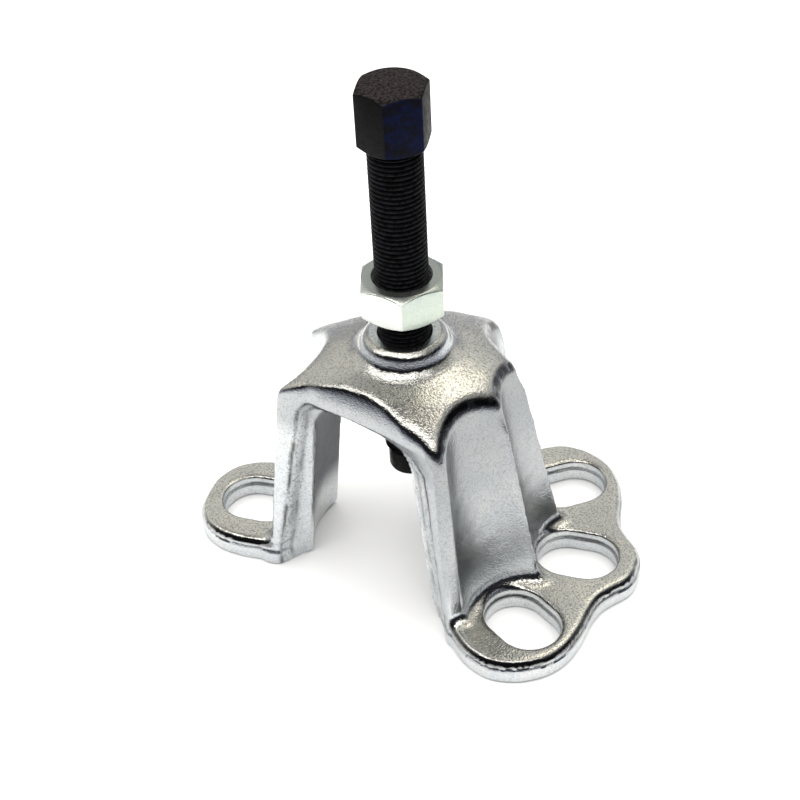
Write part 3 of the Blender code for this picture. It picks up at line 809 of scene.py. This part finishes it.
def plated_forging():
    n = Nodes('plated_forging_skin')
    upward, grainy = n.attribute('upward'), n.attribute('grainy')
    # dark lines: the real parting and trim lines, and with them the painted shade on the rims' bevels
    line = n.math('MAXIMUM', n.attribute('parting'), n.attribute('trim'))
    grain = n.noise(0.6, 2.0, 0.6)
    specks = n.math('ADD', n.noise(1.1, 2.0, 0.7), n.math('MULTIPLY', n.attribute('rough_line'), 0.10))
    specks = n.ramp(specks, 0.63, 0.71)
    broad = n.ramp(n.noise(13.0, 3.0), 0.35, 0.65)
    # painted light: the sides and the upward faces get their own copies of the plating's colour, the upward
    # ones lighter and warmer
    side = n.mix(broad, (0.60, 0.63, 0.65, 1.0), (0.66, 0.68, 0.68, 1.0))
    top = n.mix(broad, (0.66, 0.66, 0.63, 1.0), (0.78, 0.76, 0.70, 1.0))
    colour = n.mix(upward, side, top)
    dark_grain = n.math('MULTIPLY', n.ramp(grain, 0.32, 0.54, 1.0, 0.0), n.ramp(grainy, 0.0, 1.0, 0.34, 0.60))
    colour = n.mix(dark_grain, colour, (0.16, 0.16, 0.16, 1.0))
    colour = n.mix(n.math('MULTIPLY', specks, 0.5), colour, (0.12, 0.12, 0.12, 1.0))
    colour = n.mix(n.math('MULTIPLY', line, 0.88), colour, (0.05, 0.045, 0.04, 1.0))
    # painted shade inside the arch, in the grooves and on the upper front and back faces
    colour = n.mix(n.math('MULTIPLY', n.attribute('painted_shade'), 0.85), colour, (0.09, 0.09, 0.094, 1.0))
    grease = n.math('MULTIPLY', n.attribute('grease'), n.ramp(n.noise(1.6, 3.0, 0.6), 0.42, 0.56, 0.35, 1.0))
    colour = n.mix(grease, colour, (0.035, 0.030, 0.025, 1.0))
    halfway = n.math('MULTIPLY', n.math('MULTIPLY', upward, n.math('SUBTRACT', 1.0, upward)), -0.40)
    rough = n.ramp(upward, 0.0, 1.0, 0.24, 0.17)
    rough = n.math('ADD', rough, n.ramp(n.noise(3.0, 3.0), 0.3, 0.7, -0.015, 0.03))
    rough = n.math('ADD', rough, halfway)
    normal = n.bump(n.math('MULTIPLY', grain, n.ramp(grainy, 0.0, 1.0, 0.58, 1.0)), 1.0, 0.15)
    # the edge tint is greyer in the same painted shade
    edge = n.mix(n.attribute('painted_shade'), (1.0, 1.0, 1.0, 1.0), (0.5, 0.5, 0.52, 1.0))
    return n.finish(Base_Color=colour, Metallic=1.0, Roughness=rough, Specular_Tint=edge, Normal=normal)


def black_oxide():
    n = Nodes('black_oxide_skin')
    grain = n.noise(0.6, 4.0, 0.6)
    # painted bluish reflection on the head's flat turned to the front right
    blue = n.math('MULTIPLY', n.attribute('painted_blue_sheen'), n.ramp(n.noise(3.2, 4.0, 0.65), 0.36, 0.64, 0.10, 1.0))
    colour = n.mix(blue, (0.002, 0.002, 0.002, 1.0), (0.002, 0.005, 0.026, 1.0))
    # lighter crests: wear and a painted highlight along the thread
    crest_wear_and_glint = n.math('MULTIPLY', n.attribute('crest'), n.ramp(n.noise(1.4, 3.0, 0.6), 0.35, 0.60))
    colour = n.mix(crest_wear_and_glint, colour, (0.013, 0.014, 0.017, 1.0))
    # lighter mottling: wear all over, and painted light on the head's top face
    wear_and_top_sheen = n.math('ADD', n.math('MULTIPLY', n.attribute('upward'), 0.70), 0.06)
    wear_and_top_sheen = n.math('MULTIPLY', wear_and_top_sheen, n.ramp(n.noise(0.9, 4.0, 0.7), 0.36, 0.64))
    colour = n.mix(wear_and_top_sheen, colour, (0.038, 0.030, 0.030, 1.0))
    rough = n.ramp(n.noise(1.5, 3.0), 0.3, 0.7, 0.26, 0.40)
    rough = n.math('ADD', rough, n.math('MULTIPLY', n.attribute('head'), 0.12))
    return n.finish(Base_Color=colour, Metallic=0.0, Roughness=rough, Specular_IOR_Level=0.042,
                    Normal=n.bump(grain, 0.6, 0.12))


def zinc_plate():
    n = Nodes('zinc_skin')
    fine = n.noise(0.8, 3.0, 0.6)
    # painted shade: the flats that face +X get a darker copy of the zinc colour
    pale = n.mix(n.attribute('painted_side_shade'), (0.71, 0.735, 0.69, 1.0), (0.50, 0.56, 0.50, 1.0))
    colour = n.mix(n.ramp(n.noise(6.0, 3.0), 0.35, 0.7, 0.0, 0.25), pale, (0.63, 0.66, 0.55, 1.0))
    # painted shade: the nut's top face gets a darker colour than its flats
    colour = n.mix(n.math('MULTIPLY', n.attribute('upward'), 0.75), colour, (0.30, 0.32, 0.31, 1.0))
    rough = n.ramp(n.noise(2.5, 3.0), 0.3, 0.7, 0.24, 0.32)
    return n.finish(Base_Color=colour, Metallic=0.95, Roughness=rough, Normal=n.bump(fine, 0.05, 0.08))


def clothe(thing, material):
    thing.data.materials.clear()
    thing.data.materials.append(material)
    thing.data.polygons.foreach_set('material_index', [0] * len(thing.data.polygons))


clothe(yoke, plated_forging())
black = black_oxide()
clothe(screw, black)
clothe(point, black)
clothe(nut, zinc_plate())


# ---------------------------------------------------------------- floor, lights and camera

def plain_material(name, value, roughness):
    material = bpy.data.materials.new(name)
    material.use_nodes = True
    shader = material.node_tree.nodes['Principled BSDF']
    shader.inputs['Base Color'].default_value = value
    shader.inputs['Roughness'].default_value = roughness
    return material


def make_floor():
    half = 450.0
    corners = [(-half, -half, 0.0), (half, -half, 0.0), (half, half, 0.0), (-half, half, 0.0)]
    floor = mesh_object('studio_floor', corners, [(0, 1, 2, 3)])
    floor.location.z = -0.0002
    floor.data.materials.append(plain_material('floor_paper', (0.93, 0.93, 0.93, 1.0), 0.9))


def area_light(name, place, target, size, power, colour=(1.0, 1.0, 1.0), along=(1.0, 0.0, 0.0)):
    """A rectangle of light at place that faces target, its first side as near along as it can be."""
    data = bpy.data.lights.new(name, 'AREA')
    data.shape = 'RECTANGLE'
    data.size, data.size_y = size
    data.energy = power
    data.color = colour
    light = add_object(name, data)
    back = (Vector(place) - Vector(target)).normalized()
    across = (Vector(along) - back * back.dot(Vector(along))).normalized()
    turn = Matrix((across, back.cross(across), back)).transposed().to_4x4()
    light.matrix_world = Matrix.Translation(place) @ turn


def make_camera():
    azimuth, elevation, roll = radians(18.99), radians(39.24), radians(-3.42)
    distance = 0.50769
    target = Vector((0.00095, -0.01095, 0.06972))
    back = Vector((sin(azimuth) * cos(elevation), -cos(azimuth) * cos(elevation), sin(elevation)))
    right = Vector((cos(azimuth), sin(azimuth), 0.0))
    up = back.cross(right)
    across = cos(roll) * right + sin(roll) * up
    upright = cos(roll) * up - sin(roll) * right
    data = bpy.data.cameras.new('camera')
    data.lens = 76.22
    data.sensor_width = 36.0
    data.clip_start = 0.01
    camera = add_object('camera', data)
    turn = Matrix((across, upright, back)).transposed().to_4x4()
    camera.matrix_world = Matrix.Translation(target + back * distance) @ turn
    bpy.context.scene.camera = camera


def make_world():
    """A dim studio with a pale far wall; what the camera sees past the floor is plain and pale."""
    world = bpy.data.worlds.new('studio')
    world.use_nodes = True
    tree = world.node_tree
    background = tree.nodes['Background']

    def add(kind, **settings):
        node = tree.nodes.new(kind)
        for key, value in settings.items():
            setattr(node, key, value)
        return node

    split = add('ShaderNodeSeparateXYZ')
    tree.links.new(add('ShaderNodeTexCoord').outputs['Generated'], split.inputs[0])

    def ramp(value, low, high, to_low, to_high):
        node = add('ShaderNodeMapRange', interpolation_type='SMOOTHSTEP')
        tree.links.new(value, node.inputs['Value'])
        for key, number in (('From Min', low), ('From Max', high), ('To Min', to_low), ('To Max', to_high)):
            node.inputs[key].default_value = number
        return node.outputs['Result']

    def multiply_add(a, b, c):
        node = add('ShaderNodeMath', operation='MULTIPLY_ADD')
        for value, socket in zip((a, b, c), node.inputs):
            if isinstance(value, bpy.types.NodeSocket):
                tree.links.new(value, socket)
            else:
                socket.default_value = value
        return node.outputs[0]

    far = ramp(split.outputs['Y'], -0.42, 0.02, 0.0, 1.0)
    wall = ramp(split.outputs['Z'], 0.62, 0.97, 1.0, 0.38)
    above = ramp(split.outputs['Z'], 0.08, 0.34, 0.0, 1.0)
    left = ramp(split.outputs['X'], 0.52, 0.84, 1.0, 0.0)
    wall = multiply_add(multiply_add(wall, above, 0.0), left, 0.0)
    low = add('ShaderNodeMix', data_type='RGBA')
    tree.links.new(ramp(split.outputs['Z'], 0.03, 0.25, 1.0, 0.0), low.inputs['Factor'])
    low.inputs['A'].default_value = (0.014, 0.015, 0.020, 1.0)
    low.inputs['B'].default_value = (0.48, 0.50, 0.56, 1.0)
    glow = add('ShaderNodeMix', data_type='RGBA')
    tree.links.new(multiply_add(far, wall, 0.0), glow.inputs['Factor'])
    tree.links.new(low.outputs['Result'], glow.inputs['A'])
    glow.inputs['B'].default_value = (0.76, 0.76, 0.73, 1.0)
    seen = add('ShaderNodeMix', data_type='RGBA')
    tree.links.new(add('ShaderNodeLightPath').outputs['Is Camera Ray'], seen.inputs['Factor'])
    tree.links.new(glow.outputs['Result'], seen.inputs['A'])
    seen.inputs['B'].default_value = (1.0, 1.0, 1.0, 1.0)
    tree.links.new(seen.outputs['Result'], background.inputs['Color'])
    bpy.context.scene.world = world


make_floor()
make_world()
make_camera()
fill_data = bpy.data.lights.new('fill', 'SUN')
fill_data.energy = 3.6
fill_data.angle = radians(110.0)
fill = add_object('fill', fill_data)
fill.visible_glossy = False
DOME = (0.0, 0.0, 0.08)            # what the lights face
area_light('key', (-0.02, -0.31, 0.765), DOME, (0.56, 0.14), 1.3, (1.0, 0.98, 0.94))
area_light('key_left', (-0.43, -0.23, 0.61), DOME, (0.40, 0.12), 0.6, (1.0, 0.98, 0.95),
           (-0.30, 0.12, -0.20))
area_light('key_right', (0.36, -0.20, 0.72), DOME, (0.26, 0.12), 0.32, (1.0, 0.98, 0.95),
           (0.22, 0.20, -0.09))
area_light('patch', (0.216, 0.304, 0.784), DOME, (0.34, 0.34), 0.8, (1.0, 0.94, 0.80))
bpy.context.scene.view_settings.view_transform = 'Standard'
